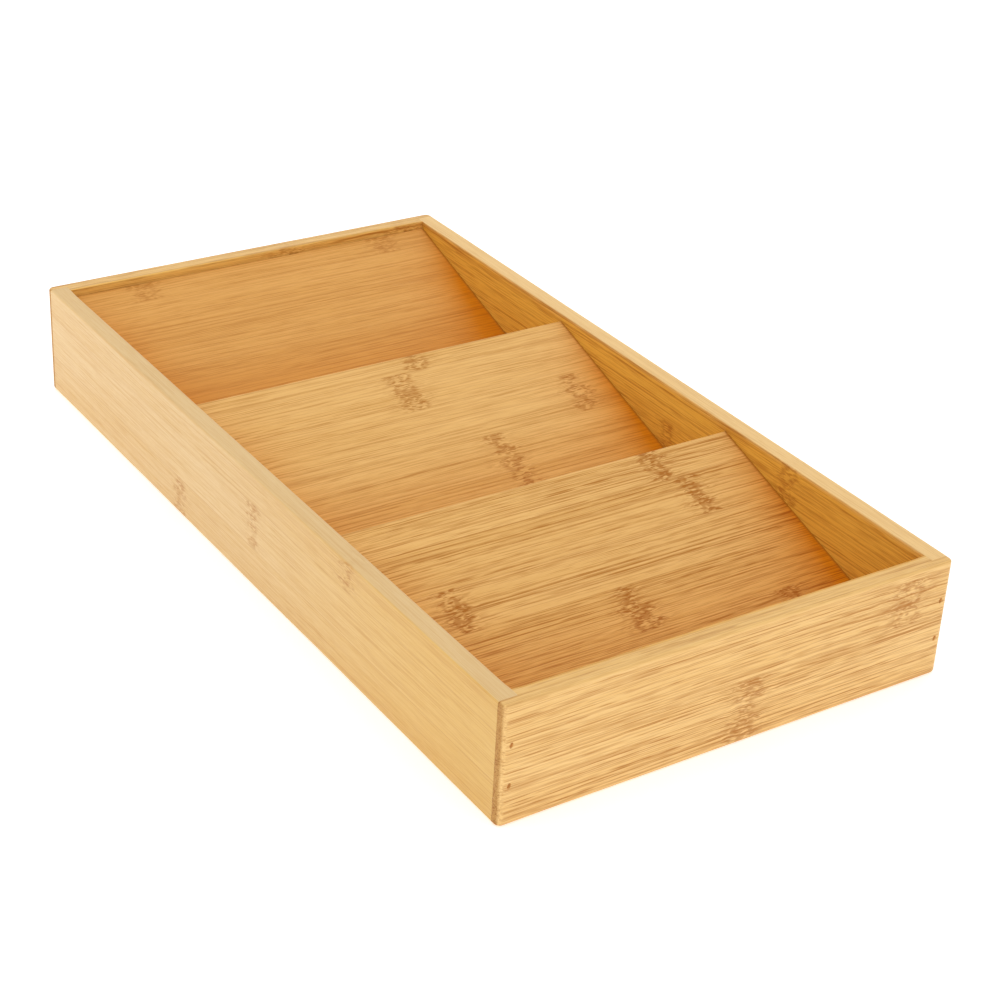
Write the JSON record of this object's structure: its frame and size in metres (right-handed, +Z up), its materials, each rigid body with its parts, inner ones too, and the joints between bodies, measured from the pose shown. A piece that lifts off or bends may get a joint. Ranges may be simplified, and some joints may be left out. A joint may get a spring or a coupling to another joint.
{
  "type": "drawer spice rack",
  "caption": "Shallow rectangular bamboo tray for a kitchen drawer, with sloped panels across it on which rows of spice jars lie on their sides, labels up.",
  "frame": {"origin": "middle of the footprint, on the plane of the drawer's floor", "axes": "+X across the front towards the right, +Y from the front to the back, +Z up"},
  "size_m": [0.2286, 0.4318, 0.0571],
  "materials": {
    "board_bamboo": "sanded bamboo with a satin lacquer",
    "tier_bamboo": "sanded bamboo with a satin lacquer",
    "brad_steel": "dull, coated brown by glue and dust"
  },
  "bodies": {
    "root": {"front_board": "board_bamboo", "back_board": "board_bamboo", "left_side_board": "board_bamboo", "right_side_board": "board_bamboo", "tier_panel_1": "tier_bamboo", "tier_panel_2": "tier_bamboo", "tier_panel_3": "tier_bamboo", "front_left_brad_1": "brad_steel", "front_left_brad_2": "brad_steel", "front_right_brad_1": "brad_steel", "front_right_brad_2": "brad_steel", "back_left_brad_1": "brad_steel", "back_left_brad_2": "brad_steel", "back_right_brad_1": "brad_steel", "back_right_brad_2": "brad_steel"}
  },
  "joints": []
}
